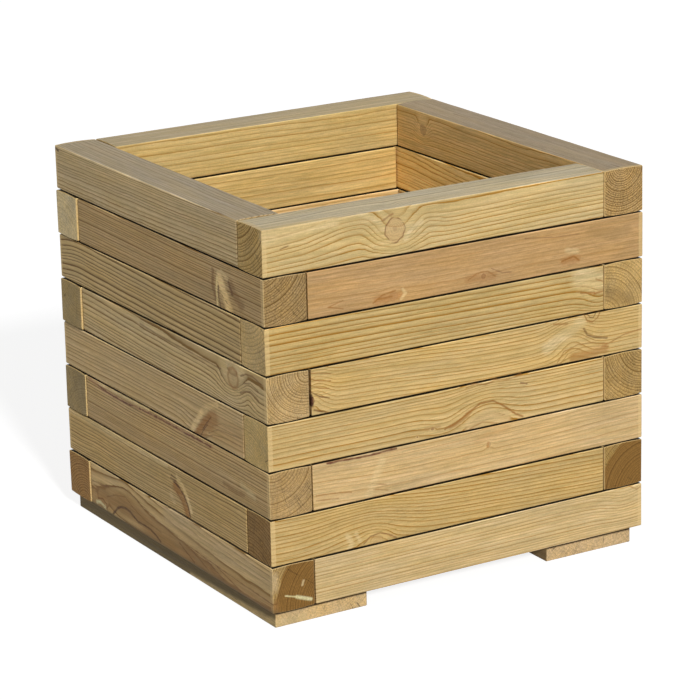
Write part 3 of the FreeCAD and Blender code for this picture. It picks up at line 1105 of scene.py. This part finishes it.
class PLANTER_OT_rails(bpy.types.Operator):
    """Builds the rails of all the courses"""
    bl_idname = "planter.rails"
    bl_label = "Build rails"

    def execute(self, context):
        looks = context.scene.planter_timber
        screws = {course: drill_for(f"course_{course}_screws") for course in COURSES if course > 1}
        screws[COURSES[-1] + 1] = drill_for("bearer_screws")
        for course in COURSES:
            drills = [screws[number] for number in (course, course + 1) if number in screws]
            beds = [bed for bed in (1, -1) if course - bed in COURSES]
            free_end = -1 if course % 2 else 1
            eases = (looks.rail_end_ease, looks.rail_butt_ease)[::-free_end]
            for side, side_name in enumerate(SIDES):
                node = f"course_{course}_{side_name}_rail"
                cut = Cut(looks.rail_arris, eases, looks.crown, random.Random(node))
                timber_piece(node, side, cut, drills, beds, free_end)
        remove_all(screws.values())
        return {"FINISHED"}


class PLANTER_OT_bearers(bpy.types.Operator):
    """Builds the two boards that the box stands on"""
    bl_idname = "planter.bearers"
    bl_label = "Build bearers"

    def execute(self, context):
        drills = [drill_for("bearer_screws"), drill_for("floor_slat_nails")]
        # The bearers' tops are painted dark as shade under the box
        board("left_bearer", SIDES.index("left"), drills, beds=(1,))
        board("right_bearer", SIDES.index("right"), drills, beds=(1,))
        remove_all(drills)
        return {"FINISHED"}


class PLANTER_OT_floor_slats(bpy.types.Operator):
    """Builds the boards of the floor"""
    bl_idname = "planter.floor_slats"
    bl_label = "Build floor slats"

    def execute(self, context):
        drills = [drill_for("floor_slat_nails")]
        for number in FLOOR_SLATS:
            board(f"floor_slat_{number}", SIDES.index("front"), drills)
        remove_all(drills)
        return {"FINISHED"}


# The fixings

def plated_steel(name, colour, rough):
    """Zinc on steel, dulled in small patches."""
    material, surface, texture = new_surface(name)
    place = Shade(texture.outputs["Object"]) * (1 / MM)
    bloom = place.noise((0.35, 0.35, 0.35), 3.0, 0.6)
    scratch = place.noise((2.0, 2.0, 0.3), 2.0)
    tint = place.vector(*colour) * (1 + bloom * 0.5)
    relief = bloom * 0.03 + scratch * 0.02
    dull = rough + bloom * 0.3
    feed(surface, Base_Color=tint, Metallic=1.0, Roughness=dull, Normal=relief.bump(0.6))
    return material


def middles(shape):
    """The middle of each separate solid in a shape."""
    seen = set()
    places = []
    for first in shape.verts:
        if first in seen:
            continue
        seen.add(first)
        solid = [first]
        for vertex in solid:
            for edge in vertex.link_edges:
                other = edge.other_vert(vertex)
                if other not in seen:
                    seen.add(other)
                    solid.append(other)
        places.append(sum((vertex.co for vertex in solid), Vector()) / len(solid))
    return places


def blade_cutter(name, places, turn, fixings):
    """A cutter with one tapered blade of a cross at each place, up from the ground."""
    lip = 0.2 * MM
    slimness = 0.3
    depth = fixings.recess_depth + lip
    shape = bmesh.new()
    for place in places:
        stand = Matrix.Translation((place.x, place.y, depth / 2 - lip))
        blade = stand @ Matrix.Rotation(math.radians(turn), 4, "Z") @ Matrix.Diagonal((slimness, 1, 1, 1))
        bmesh.ops.create_cone(
            shape, cap_ends=True, segments=4, radius1=fixings.recess_width / 2,
            radius2=fixings.recess_width / 5, depth=depth, matrix=blade)
    return made(name, shape)


def cross_headed_screws(node, material):
    """The screws of a node whose heads face the ground, with a cross recess in each head."""
    fixings = bpy.context.scene.planter_fixings
    shape = welded(node)
    places = middles(shape)
    screws = made(node + "_cross_headed", shape)
    blades = [blade_cutter(f"blade_{turn}", places, turn, fixings) for turn in (0, 90)]
    drilled(screws, blades)
    remove_all(blades)
    stand_for(screws, node, material)


def dress_node(node, material):
    """Gives a node of the frame its material."""
    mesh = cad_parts[node].data
    mesh.materials.clear()
    mesh.materials.append(material)


class PLANTER_OT_screws(bpy.types.Operator):
    """Finishes the screws of the courses and of the bearers"""
    bl_idname = "planter.screws"
    bl_label = "Finish screws"

    def execute(self, context):
        steel = plated_steel("screw_steel", context.scene.planter_fixings.screw_steel, 0.38)
        for course in COURSES[1:]:
            dress_node(f"course_{course}_screws", steel)
        cross_headed_screws("bearer_screws", steel)
        return {"FINISHED"}


class PLANTER_OT_nails(bpy.types.Operator):
    """Finishes the nails of the floor"""
    bl_idname = "planter.nails"
    bl_label = "Finish nails"

    def execute(self, context):
        steel = plated_steel("nail_steel", context.scene.planter_fixings.nail_steel, 0.5)
        dress_node("floor_slat_nails", steel)
        return {"FINISHED"}


# The stage

FLOOR_RADIUS = 30.0
FLOOR_DROP = 0.2 * MM
# Within the first distance of the middle the floor is painted dark, as shade under the box; past the second
# it is white
DARK_FLOOR = 0.12
OPEN_FLOOR = 0.16
SENSOR_WIDTH = 36.0


def seen_directly(tree):
    """1 for rays that come from the camera, a reflection or a clear body, and 0 for light on the object."""
    path = tree.nodes.new("ShaderNodeLightPath")
    camera = Shade(path.outputs["Is Camera Ray"])
    seen = camera.maths("MAXIMUM", camera, Shade(path.outputs["Is Glossy Ray"]))
    return camera.maths("MAXIMUM", seen, Shade(path.outputs["Is Transmission Ray"]))


def set_world(stage):
    """White to look at, with a light of its own that fades from the walls up to the ceiling."""
    world = bpy.data.worlds.new("studio")
    world.use_nodes = True
    background = world.node_tree.nodes["Background"]
    texture = world.node_tree.nodes.new("ShaderNodeTexCoord")
    height = Shade(texture.outputs["Generated"]).parts()[2]
    fall = stage.ceiling_light - stage.wall_light
    light = height.maths("MAXIMUM", height, 0.0) * fall + stage.wall_light
    level = seen_directly(world.node_tree) * (1 - light) + light
    feed(background, Color=(1, 1, 1, 1), Strength=level)
    bpy.context.scene.world = world


def floor_material(stage):
    """A floor that looks white, keeps the shadow, throws back a set light, and is painted dark inside the
    box as shade under it.
    """
    material, surface, texture = new_surface("pale_floor")
    tree = material.node_tree
    feed(surface, Base_Color=tuple(stage.floor_colour) + (1.0,), Roughness=0.9, Specular_IOR_Level=0.0)
    across, along, _ = abs(Shade(texture.outputs["Object"])).parts()
    # Painted shade: the white glow fades out under the box
    glow_with_painted_shade = across.maths("MAXIMUM", across, along).fade(DARK_FLOOR, OPEN_FLOOR)
    seen = seen_directly(tree)
    shown = seen.node("ShaderNodeBsdfDiffuse", {}, {"Color": (stage.floor_shade,) * 3 + (1.0,)})
    lit = {"Color": seen.vector(glow_with_painted_shade, glow_with_painted_shade, glow_with_painted_shade), "Strength": stage.floor_white}
    white = seen.node("ShaderNodeEmission", {}, lit)
    pale = seen.node("ShaderNodeAddShader", {}, {0: shown, 1: white})
    both = seen.node("ShaderNodeMixShader", {}, {0: seen, 1: Shade(surface.outputs[0]), 2: pale})
    tree.links.new(both.socket, tree.nodes["Material Output"].inputs["Surface"])
    return material


def set_floor(stage):
    """A wide floor, a hair under the object."""
    shape = bmesh.new()
    bmesh.ops.create_circle(shape, cap_ends=True, radius=FLOOR_RADIUS, segments=64)
    floor = made("floor", shape)
    floor.location.z = -FLOOR_DROP
    floor.data.materials.append(floor_material(stage))


def set_lamp(stage):
    """A soft lamp in front of the object."""
    lamp = bpy.data.lights.new("key", "SUN")
    lamp.energy = stage.key_strength
    lamp.angle = stage.key_softness
    key = linked("key", lamp)
    key.rotation_euler = (math.pi / 2 - stage.key_elevation, 0, stage.key_azimuth)


def set_camera(stage):
    """The camera, aimed and rolled into its view."""
    camera = linked("camera", bpy.data.cameras.new("camera"))
    camera.data.lens = stage.camera_lens
    camera.data.sensor_width = SENSOR_WIDTH
    view = Vector(stage.camera_aim) - Vector(stage.camera_place)
    turn = view.to_track_quat("-Z", "Y").to_matrix().to_4x4()
    roll = Matrix.Rotation(stage.camera_roll, 4, "Z")
    camera.matrix_world = Matrix.Translation(stage.camera_place) @ turn @ roll
    bpy.context.scene.camera = camera


class PLANTER_OT_stage(bpy.types.Operator):
    """Sets the floor, the light and the camera"""
    bl_idname = "planter.stage"
    bl_label = "Set stage"

    def execute(self, context):
        stage = context.scene.planter_stage
        set_floor(stage)
        set_world(stage)
        set_lamp(stage)
        set_camera(stage)
        context.scene.view_settings.view_transform = "Standard"
        return {"FINISHED"}


# The add-on

OPERATORS = [
    PLANTER_OT_rails,
    PLANTER_OT_bearers,
    PLANTER_OT_floor_slats,
    PLANTER_OT_screws,
    PLANTER_OT_nails,
    PLANTER_OT_stage,
]
GROUPS = {
    "planter_timber": PlanterTimber,
    "planter_fixings": PlanterFixings,
    "planter_stage": PlanterStage,
}


class PLANTER_PT_panel(bpy.types.Panel):
    """The planter's sizes, colours and steps"""
    bl_idname = "PLANTER_PT_panel"
    bl_label = "Planter"
    bl_space_type = "VIEW_3D"
    bl_region_type = "UI"
    bl_category = "Planter"

    def draw(self, context):
        for operator in OPERATORS:
            self.layout.operator(operator.bl_idname)
        for group_name, group in GROUPS.items():
            box = self.layout.box()
            for setting in group.__annotations__:
                box.prop(getattr(context.scene, group_name), setting)


def register():
    for group_name, group in GROUPS.items():
        bpy.utils.register_class(group)
        setattr(bpy.types.Scene, group_name, bpy.props.PointerProperty(type=group))
    for operator in OPERATORS:
        bpy.utils.register_class(operator)
    bpy.utils.register_class(PLANTER_PT_panel)


def unregister():
    bpy.utils.unregister_class(PLANTER_PT_panel)
    for operator in reversed(OPERATORS):
        bpy.utils.unregister_class(operator)
    for group_name, group in GROUPS.items():
        delattr(bpy.types.Scene, group_name)
        bpy.utils.unregister_class(group)


def main():
    register()
    bpy.ops.planter.rails()
    bpy.ops.planter.bearers()
    bpy.ops.planter.floor_slats()
    bpy.ops.planter.screws()
    bpy.ops.planter.nails()
    bpy.ops.planter.stage()


if __name__ == "__main__":
    main()
